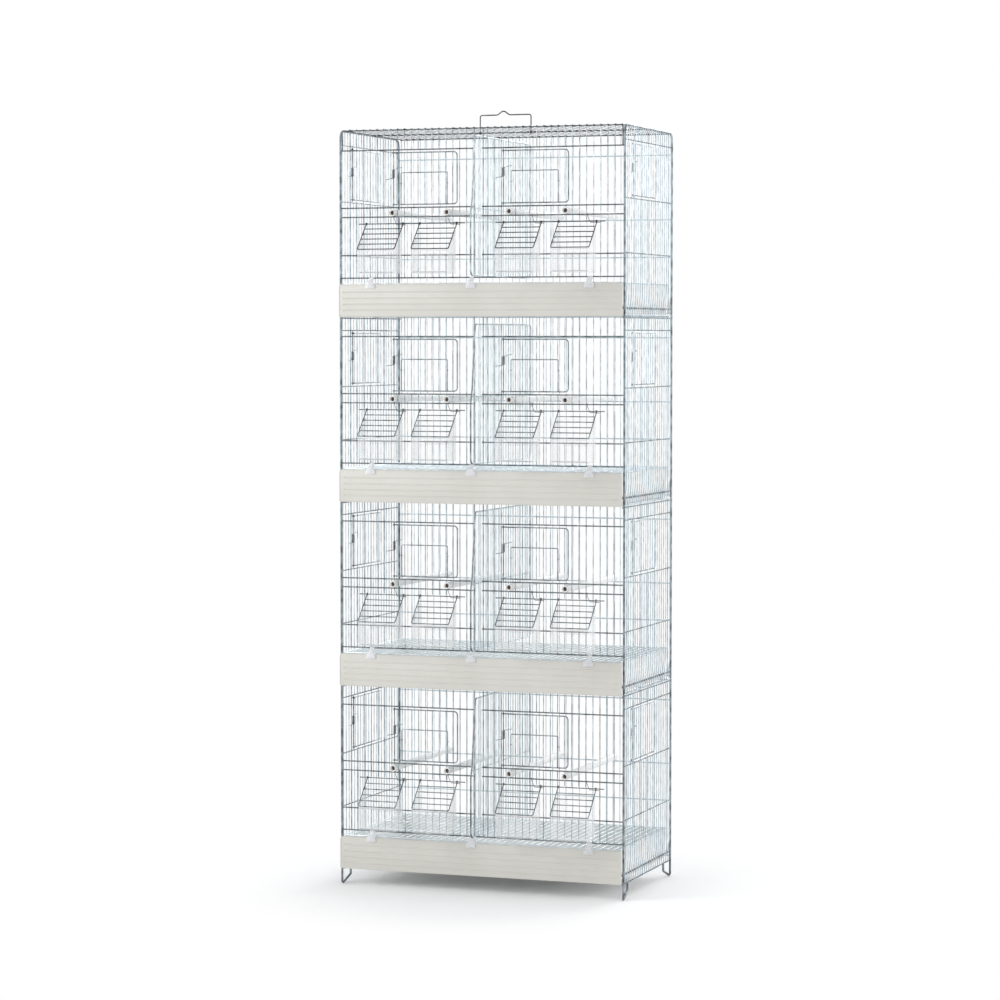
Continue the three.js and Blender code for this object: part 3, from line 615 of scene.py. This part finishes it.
def cup():
    """A clear cup with a chamfered front, sloping cheeks, a windowed guard above its back and a hook."""
    form = Form()
    half, front, back, floor, rim, crest = 39.5, -50.5, -2.2, 118.0, 163.6, 204.0
    window, window_top = (-18.0, 18.0), 197.0
    bm = bmesh.new()
    columns = (-half, window[0], window[1], half)
    rows = (floor, rim, window_top, crest)
    grid = [[bm.verts.new((x, back, z)) for x in columns] for z in rows]
    for r in range(3):
        for c in range(3):
            if (r, c) != (1, 1):
                bm.faces.new([grid[r][c], grid[r][c + 1], grid[r + 1][c + 1], grid[r + 1][c]])
    chamfer = 6
    section = ((front + chamfer, floor), (front, floor + chamfer), (front, rim))
    left, right = ([bm.verts.new((x, y, z)) for y, z in section] for x in (-half, half))
    bm.faces.new([left[0], right[0], grid[0][3], grid[0][2], grid[0][1], grid[0][0]])
    bm.faces.new([left[1], right[1], right[0], left[0]])
    bm.faces.new([left[2], right[2], right[1], left[1]])
    for corner, column in ((left, 0), (right, 3)):
        bm.faces.new([corner[0], corner[1], corner[2], *[grid[r][column] for r in (3, 2, 1, 0)]])
    soften(bm, 2.6, 4)
    bmesh.ops.solidify(bm, geom=bm.faces[:], thickness=-1.6)
    form.add_bmesh(bm)
    # The rim and cheek beads carry a painted highlight, and the foot bead a painted shade.
    beads = ((2.2, front + 0.9, rim, 0.9, EDGE), (3.0, front + 3.4, floor + 2.9, 0.8, FOOT))
    for inset, y, z, radius, finish in beads:
        rod(form, (-half + inset, y, z), (half - inset, y, z), radius, 8, finish)
    for x in (-half + 0.9, half - 0.9):
        rod(form, (x, front + 2.2, rim), (x, back - 4.0, crest - 3.2), 0.7, 8, EDGE)
    hook = [(back - 1.0, 157.0), (4.8, 157.0), (4.8, 149.4), (6.6, 149.4), (6.6, 158.8), (back - 1.0, 158.8)]
    prism(form, hook, -30.0, 30.0, "x", 0.4)
    return form


def perch():
    """A plastic tube that rests on a front and a back rail, with a dark disc set back in its mouth as painted
    shade inside the hollow tube.
    """
    form = Form()
    sides, radius, mouth = 24, 6.75, 4.8
    front_end = [(mouth - 0.4, 1.5), (mouth, -4.8), (mouth + 0.6, -6.0), (radius - 0.7, -6.0), (radius, -5.1)]
    back_end = [(radius, 315.2), (radius - 0.8, 316.0), (mouth, 316.0), (mouth - 0.3, 310.0)]
    profile = front_end + back_end
    z = PERCH_Z + RAIL + radius
    points = []
    for r, y in profile:
        for j in range(sides):
            angle = 2 * math.pi * j / sides
            points.append((r * math.cos(angle), y, z + r * math.sin(angle)))
    faces = []
    for i in range(len(profile) - 1):
        faces += band(i * sides, (i + 1) * sides, sides)
    form.add(points, faces)
    # Dark discs in the mouths: painted shade inside the hollow tube.
    form.add(points[:sides], [tuple(reversed(range(sides)))], SHADED_MOUTH)
    form.add(points[-sides:], [tuple(range(sides))], SHADED_MOUTH)
    return form


def cup_hook():
    """The thin wire that hangs from the perch rail, passes the rod and steadies a cup."""
    form = Form()
    hanger = [(0, 1.3, PERCH_Z + 2.2), (0, -0.8, PERCH_Z), (2.0, -0.9, PERCH_Z - 6)]
    tail = [(6.5, -0.9, ROD_Z - 2.4), (12.0, -0.8, ROD_Z - 2.2), (26.0, -0.6, ROD_Z - 3.0)]
    tube(form, rounded(hanger + tail, 3.0, 4), FINE, 6)
    return form


# ---- Tray ----------------------------------------------------------------------------------------


def loft(form, rings, finish):
    """A skin over closed rings with the same number of points, closed at both ends."""
    count = len(rings[0])
    faces = [tuple(reversed(range(count)))]
    for i in range(len(rings) - 1):
        faces += band(i * count, (i + 1) * count, count)
    faces.append(tuple(range((len(rings) - 1) * count, len(rings) * count)))
    form.add([p for ring in rings for p in ring], faces, finish)


def tray_ring(inset, z, radius):
    """The outline of the tray's body at a height, set in by that much."""
    half, front, back = 290.0, -8.0, 310.0
    outline = rectangle((-half + inset, half - inset), (front + inset, back - inset), (radius,) * 4, 4)
    return [(x, y, z) for x, y in outline]


def tray():
    """The tray's body and ribbed front, with its ledges and clips."""
    form = Form()
    floor, rim = 38.6, 97.5
    outside = [(3.2, floor, 5.0), (1.2, floor + 0.8, 6.4), (0.3, floor + 2.4, 7.0), (0.0, floor + 5, 7.0)]
    step = [(0.0, rim - 6.5, 7.0), (-0.5, rim - 5.6, 7.4), (-0.5, rim - 0.8, 7.4)]
    lip = [(0.2, rim, 7.0), (2.0, rim, 6.0), (2.6, rim - 0.6, 5.6)]
    inside = [(2.9, floor + 6, 5.2), (4.4, floor + 3.4, 4.4), (6.6, floor + 2.6, 3.4)]
    # The body takes the paler copy of the plastic: painted light.
    loft(form, [tray_ring(*ring) for ring in outside + step + lip + inside], BODY)
    plate = rectangle((-297, 297), (33.2, 98.6), (2.5, 2.5, 7.0, 7.0), 5)
    prism(form, plate, -9.6, -7.4, "y", 0.7, 3)
    outer = rectangle((-296.3, 296.3), (33.9, 97.9), (2.2, 2.2, 6.4, 6.4), 5)
    tube(form, [(x, -9.5, z) for x, z in outer], 0.75, 8, closed=True)
    rib_half, rib_y, stud_x = 284.0, -9.2, 287.0
    for z in (46.3, 58.0, 69.8, 82.2):
        rod(form, (-rib_half, rib_y, z), (rib_half, rib_y, z), 1.5, 8)
        for x in (-stud_x, stud_x):
            weld(form, (x, -9.7, z), STUD)
    for sign in (-1, 1):
        ledge = sorted((sign * 288.6, sign * 294.4))
        prism(form, rectangle(ledge, (51.4, 54.4)), 4.5, 305.5, "y", 0.6, finish=BODY)
    for place in (-229.6, -16.2, 229.6):
        add_clip(form, place)
    return form


def add_clip(form, place):
    """A translucent clip: a tab on the tray's front, with a neck that bends back over the lowest rail."""
    half_tab = [(8.3, 89.5), (10.0, 90.2), (10.7, 92.0), (10.4, 95.5)]
    half_tab += [(8.0, 99.0), (5.4, 101.2), (5.0, 103.5)]
    tab = [(place + x, z) for x, z in half_tab] + [(place - x, z) for x, z in reversed(half_tab)]
    prism(form, tab, -11.6, -9.9, "y", 0.4, finish=CLIP)
    neck_outside = [(-11.4, 92.0), (-11.4, 103.0), (-3.4, 108.4), (-2.9, 111.6)]
    neck_inside = [(-1.3, 111.6), (-1.3, 107.4), (-9.7, 102.0), (-9.7, 92.0)]
    prism(form, neck_outside + neck_inside, place - 5.0, place + 5.0, "x", 0.4, finish=CLIP)


# ---- Finishes ------------------------------------------------------------------------------------


def material(name):
    """A new material with its node tree and its main shader."""
    made = bpy.data.materials.new(name)
    made.use_nodes = True
    tree = made.node_tree
    return made, tree, tree.nodes["Principled BSDF"]


def noise(tree, scale, detail):
    """Noise in the piece's own coordinates."""
    where = tree.nodes.new("ShaderNodeTexCoord")
    made = tree.nodes.new("ShaderNodeTexNoise")
    made.inputs["Scale"].default_value = scale
    made.inputs["Detail"].default_value = detail
    tree.links.new(where.outputs["Object"], made.inputs["Vector"])
    return made.outputs["Fac"]


def ramp(tree, value, stops):
    """Colours at their places between 0 and 1 of a value."""
    made = tree.nodes.new("ShaderNodeValToRGB")
    elements = made.color_ramp.elements
    for element, (place, colour) in zip(elements, stops):
        element.position = place
        element.color = (*colour, 1.0)
    tree.links.new(value, made.inputs["Fac"])
    return made.outputs["Color"]


def grey(value):
    return (value, value, value)


def bump(tree, bsdf, height, distance, strength):
    """Fine relief in the finish."""
    made = tree.nodes.new("ShaderNodeBump")
    made.inputs["Strength"].default_value = strength
    made.inputs["Distance"].default_value = distance
    tree.links.new(height, made.inputs["Height"])
    tree.links.new(made.outputs["Normal"], bsdf.inputs["Normal"])


def zinc(name, dark, light):
    """Bright zinc plating on drawn wire: cloudy in colour, with duller patches and fine pits. The dark and
    light levels given for each set of wires are painted shade and painted light.
    """
    made, tree, bsdf = material(name)
    bsdf.inputs["Metallic"].default_value = 1.0
    patches = noise(tree, 60.0, 4.0)
    fine = noise(tree, 900.0, 2.0)
    tree.links.new(ramp(tree, patches, [(0.36, dark), (0.66, light)]), bsdf.inputs["Base Color"])
    tree.links.new(ramp(tree, fine, [(0.3, grey(0.26)), (0.7, grey(0.46))]), bsdf.inputs["Roughness"])
    bump(tree, bsdf, fine, 0.0002, 0.35)
    return made


def moulded_plastic(name, dark, light, rough):
    """Opaque moulded plastic: slightly uneven colour and a fine spark-eroded grain."""
    made, tree, bsdf = material(name)
    colour = ramp(tree, noise(tree, 9.0, 3.0), [(0.35, dark), (0.65, light)])
    tree.links.new(colour, bsdf.inputs["Base Color"])
    grain = noise(tree, 2600.0, 2.0)
    dullness = ramp(tree, grain, [(0.35, grey(rough[0])), (0.65, grey(rough[1]))])
    tree.links.new(dullness, bsdf.inputs["Roughness"])
    bump(tree, bsdf, grain, 0.00008, 0.4)
    return made


def clear_plastic(name, colour, face_on, edge_on):
    """Thin clear plastic: faint face on, denser where the wall is seen at a slant."""
    made, tree, bsdf = material(name)
    cloud = noise(tree, 45.0, 3.0)
    darker = tuple(0.94 * c for c in colour)
    tree.links.new(ramp(tree, cloud, [(0.3, darker), (0.7, colour)]), bsdf.inputs["Base Color"])
    tree.links.new(ramp(tree, cloud, [(0.3, grey(0.08)), (0.7, grey(0.2))]), bsdf.inputs["Roughness"])
    slant = tree.nodes.new("ShaderNodeLayerWeight")
    slant.inputs["Blend"].default_value = 0.35
    cover = ramp(tree, slant.outputs["Facing"], [(0.0, grey(face_on)), (1.0, grey(edge_on))])
    tree.links.new(cover, bsdf.inputs["Alpha"])
    return made


# ---- Studio --------------------------------------------------------------------------------------


LENS, SENSOR = 114.95, 36.0
CAMERA_PLACE = (2.1819, -6.04244, 1.1002)
CAMERA_DOWN, CAMERA_TURN = 2.905, 19.91  # degrees below level, and to the left of straight back
ROOM_LIGHT = (0.70, 0.71, 0.72)
FLOOR_TONE, FLOOR_HALF = 0.93, 14.0
FLOOR_FADE = (0.30, 0.62)  # distances between which the floor turns white
LAMPS = (  # name, place, aim, size and power
    ("key", (-4.2, -3.6, 3.4), (0, 0, 0.8), (2.4, 2.4), 60),
    ("near", (-1.7, -1.5, 1.2), (-0.1, -0.1, 0.8), (1.0, 1.4), 14),
    ("side", (4.6, 0.6, 1.8), (0, 0, 0.8), (2.5, 2.5), 55),
    ("back", (1.2, 4.2, 3.6), (0, 0, 0.6), (3.0, 2.0), 110),
)


def camera():
    """The camera that was fitted to the photo."""
    data = bpy.data.cameras.new("camera")
    data.lens, data.sensor_width, data.sensor_fit = LENS, SENSOR, "HORIZONTAL"
    data.clip_end = 50.0
    made = bpy.data.objects.new("camera", data)
    made.location = CAMERA_PLACE
    made.rotation_euler = (math.radians(90 - CAMERA_DOWN), 0.0, math.radians(CAMERA_TURN))
    bpy.context.scene.collection.objects.link(made)
    bpy.context.scene.camera = made


def lamp(name, place, target, size, power):
    """A rectangular lamp turned towards its target."""
    data = bpy.data.lights.new(name, "AREA")
    data.shape, data.size, data.size_y, data.energy = "RECTANGLE", size[0], size[1], power
    made = bpy.data.objects.new(name, data)
    made.location = place
    aim = np.array(target, float) - np.array(place, float)
    made.rotation_euler = Vector(aim).to_track_quat("-Z", "Y").to_euler()
    bpy.context.scene.collection.objects.link(made)


def world():
    """White where the camera, metal and glass look at it, and a plain level of light for everything else."""
    made = bpy.data.worlds.new("studio")
    made.use_nodes = True
    tree = made.node_tree
    background = tree.nodes["Background"]
    path = tree.nodes.new("ShaderNodeLightPath")
    seen = path.outputs["Is Camera Ray"]
    for ray in ("Is Glossy Ray", "Is Transmission Ray"):
        either = tree.nodes.new("ShaderNodeMath")
        either.operation = "MAXIMUM"
        tree.links.new(seen, either.inputs[0])
        tree.links.new(path.outputs[ray], either.inputs[1])
        seen = either.outputs["Value"]
    mix = tree.nodes.new("ShaderNodeMix")
    mix.data_type = "RGBA"
    mix.inputs["A"].default_value = (*ROOM_LIGHT, 1.0)
    mix.inputs["B"].default_value = (1.0, 1.0, 1.0, 1.0)
    tree.links.new(seen, mix.inputs["Factor"])
    tree.links.new(mix.outputs["Result"], background.inputs["Color"])
    bpy.context.scene.world = made


def floor():
    """A pale floor with the rack's shadow, which turns into the background's white further out."""
    data = bpy.data.meshes.new("floor")
    corners = [(x * FLOOR_HALF, y * FLOOR_HALF, 0) for x, y in ((-1, -1), (1, -1), (1, 1), (-1, 1))]
    data.from_pydata(corners, [], [(0, 1, 2, 3)])
    made = bpy.data.objects.new("floor", data)
    bpy.context.scene.collection.objects.link(made)
    finish = bpy.data.materials.new("floor")
    finish.use_nodes = True
    tree = finish.node_tree
    bsdf = tree.nodes["Principled BSDF"]
    bsdf.inputs["Base Color"].default_value = (*grey(FLOOR_TONE), 1.0)
    bsdf.inputs["Roughness"].default_value = 0.9
    bsdf.inputs["Specular IOR Level"].default_value = 0.1
    where = tree.nodes.new("ShaderNodeTexCoord")
    far = tree.nodes.new("ShaderNodeVectorMath")
    far.operation = "LENGTH"
    tree.links.new(where.outputs["Object"], far.inputs[0])
    fade = tree.nodes.new("ShaderNodeMapRange")
    fade.interpolation_type = "SMOOTHSTEP"
    fade.inputs["From Min"].default_value, fade.inputs["From Max"].default_value = FLOOR_FADE
    tree.links.new(far.outputs["Value"], fade.inputs["Value"])
    path = tree.nodes.new("ShaderNodeLightPath")
    seen = tree.nodes.new("ShaderNodeMath")
    seen.operation = "MULTIPLY"
    tree.links.new(fade.outputs["Result"], seen.inputs[0])
    tree.links.new(path.outputs["Is Camera Ray"], seen.inputs[1])
    white = tree.nodes.new("ShaderNodeEmission")
    mix = tree.nodes.new("ShaderNodeMixShader")
    tree.links.new(seen.outputs["Value"], mix.inputs["Fac"])
    tree.links.new(bsdf.outputs["BSDF"], mix.inputs[1])
    tree.links.new(white.outputs["Emission"], mix.inputs[2])
    tree.links.new(mix.outputs["Shader"], tree.nodes["Material Output"].inputs["Surface"])
    data.materials.append(finish)


# ---- Assembly ------------------------------------------------------------------------------------


def put(name, mesh, tier, body, replaced=(), x=0.0):
    """A piece in one cage, with the body that it rides and the solids that it stands in for."""
    made = bpy.data.objects.new(name, mesh)
    made.location = (x / 1000, 0.0, (tier - 1) * PITCH / 1000)
    bpy.context.scene.collection.objects.link(made)
    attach(made, body)
    if replaced:
        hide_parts(*replaced)


def both_sides(form, name, finishes):
    """The meshes of a piece made for the right side, and of its mirror image."""
    return {"left": form.mirrored().mesh(name, finishes), "right": form.mesh(name, finishes)}


def build():
    """All pieces of the four cages. The top cage's front is painted darker, as shade, and the middle cages'
    sides are alike.
    """
    # One zinc in eight levels: the darker ones are painted shade and the paler ones painted light, for where
    # each set of wires lies in the light.
    front_zinc_painted_shade = zinc("front_zinc_painted_shade", (0.05, 0.052, 0.055), (0.21, 0.23, 0.245))
    bar_zinc_painted_light = zinc("bar_zinc_painted_light", (0.20, 0.24, 0.26), (0.52, 0.585, 0.62))
    post_zinc_painted_shade = zinc("post_zinc_painted_shade", (0.10, 0.115, 0.125), (0.34, 0.39, 0.42))
    side_zinc_painted_light = zinc("side_zinc_painted_light", (0.37, 0.44, 0.48), (0.68, 0.75, 0.79))
    inner_zinc_painted_light = zinc("inner_zinc_painted_light", (0.46, 0.54, 0.58), (0.73, 0.80, 0.83))
    grid_zinc_painted_light = zinc("grid_zinc_painted_light", (0.60, 0.68, 0.72), (0.84, 0.89, 0.92))
    flap_zinc_painted_shade = zinc("flap_zinc_painted_shade", (0.022, 0.023, 0.025), (0.10, 0.108, 0.115))
    rod_zinc_painted_shade = zinc("rod_zinc_painted_shade", (0.06, 0.07, 0.075), (0.26, 0.30, 0.32))
    plate_white = moulded_plastic("plate_white", (0.60, 0.585, 0.54), (0.65, 0.635, 0.59), (0.34, 0.46))
    # The body is the front's plastic made paler: painted light.
    body_white_painted_light = moulded_plastic("body_white_painted_light", (0.86, 0.865, 0.86), (0.91, 0.912, 0.905), (0.34, 0.46))
    tube_white = moulded_plastic("perch_ivory", (0.91, 0.91, 0.90), (0.95, 0.95, 0.945), (0.4, 0.5))
    # The dark brown of the perch mouths is painted shade.
    mouth_shade = moulded_plastic("perch_hole_shade", (0.035, 0.02, 0.014), (0.10, 0.065, 0.048), (0.6, 0.8))
    clear = clear_plastic("cup_clear", (0.97, 0.98, 0.985), 0.06, 0.5)
    # Near-opaque white rim beads are a painted highlight, and the grey foot bead is painted shade.
    cup_edge_highlight = clear_plastic("cup_edge_highlight", (0.94, 0.95, 0.96), 0.7, 0.95)
    cup_foot_shade = clear_plastic("cup_foot_shade", (0.50, 0.52, 0.53), 0.6, 0.9)
    clip_clear = clear_plastic("clip_clear", (0.95, 0.955, 0.98), 0.6, 0.9)

    right_side = {tier: side_panel(tier == TIERS[0], tier == TIERS[-1]) for tier in (1, 2, 4)}
    right_side[3] = right_side[2]
    meshes = {
        "front": {
            top: front_panel(top).mesh("front_wires", [front_zinc_painted_shade if top else rod_zinc_painted_shade, bar_zinc_painted_light])
            for top in (True, False)
        },
        "side": {
            tier: both_sides(form, "side_wires", [post_zinc_painted_shade, side_zinc_painted_light])
            for tier, form in right_side.items()
        },
        "back": back_panel().mesh("back_wires", [inner_zinc_painted_light]),
        "roof": {
            top: roof(top).mesh("roof_wires", [front_zinc_painted_shade if top else inner_zinc_painted_light])
            for top in (True, False)
        },
        "grid": floor_grid().mesh("grid_wires", [grid_zinc_painted_light]),
        "divider": {
            top: divider().mesh("divider_wires", [bar_zinc_painted_light if top else post_zinc_painted_shade, inner_zinc_painted_light])
            for top in (True, False)
        },
        "tray": tray().mesh("tray_shell", [plate_white, clip_clear, body_white_painted_light]),
        "front_door": {
            side: front_door(side).mesh("front_door_wires", [post_zinc_painted_shade, bar_zinc_painted_light])
            for side in DOORS
        },
        "front_spring": {side: front_spring(side).mesh("front_spring", [front_zinc_painted_shade]) for side in DOORS},
        "flaps": {
            (side, top): flaps(sign).mesh("flap_wires", [flap_zinc_painted_shade if top else rod_zinc_painted_shade])
            for side, sign in (("left", -1), ("right", 1)) for top in (True, False)
        },
        "cup": cup().mesh("cup_shell", [clear, cup_edge_highlight, cup_foot_shade], 30.0),
        "perch": perch().mesh("perch_tube", [tube_white, mouth_shade]),
        "hook": cup_hook().mesh("cup_hook", [front_zinc_painted_shade]),
        "side_door": both_sides(side_door(), "side_door_wires", [post_zinc_painted_shade, side_zinc_painted_light]),
        "side_spring": both_sides(side_spring(), "side_spring", [post_zinc_painted_shade]),
    }

    for tier in TIERS:
        top = tier == TIERS[-1]
        put(f"front_wires_{tier}", meshes["front"][top], tier, "rack", [f"front_panel_{tier}"])
        put(f"back_wires_{tier}", meshes["back"], tier, "rack", ["back_panels"])
        put(f"roof_wires_{tier}", meshes["roof"][top], tier, "rack", ["roof_panel"] if top else [])
        node = f"tray_{tier}"
        put(f"tray_shell_{tier}", meshes["tray"], tier, node, [node])
        node = f"floor_grid_{tier}"
        put(f"grid_wires_{tier}", meshes["grid"], tier, node, [node])
        node = f"divider_{tier}"
        put(f"divider_wires_{tier}", meshes["divider"][top], tier, node, [node])
        for side in ("left", "right"):
            panel = f"side_panels_{side}"
            put(f"side_wires_{tier}_{side}", meshes["side"][tier][side], tier, "rack", [panel])
            node = f"front_door_{tier}_{side}"
            put(f"front_leaf_{tier}_{side}", meshes["front_door"][side], tier, node, [node])
            put(f"front_spring_{tier}_{side}", meshes["front_spring"][side], tier, "rack")
            node = f"side_door_{tier}_{side}"
            put(f"side_leaf_{tier}_{side}", meshes["side_door"][side], tier, node, [node])
            put(f"side_spring_{tier}_{side}", meshes["side_spring"][side], tier, "rack")
            node = f"feeder_flaps_{tier}_{side}"
            put(f"flap_wires_{tier}_{side}", meshes["flaps"][side, top], tier, node, [node])
        for column, x in CUPS.items():
            node = f"feeder_cup_{tier}_{column}"
            put(f"cup_{tier}_{column}", meshes["cup"], tier, "rack", [node], x)
            put(f"cup_hook_{tier}_{column}", meshes["hook"], tier, "rack", x=x + HOOK_OFFSET)
        for column, x in PERCHES.items():
            put(f"perch_{tier}_{column}", meshes["perch"], tier, "rack", x=x)


camera()
build()
floor()
world()
for settings in LAMPS:
    lamp(*settings)
bpy.context.scene.view_settings.view_transform = "Standard"
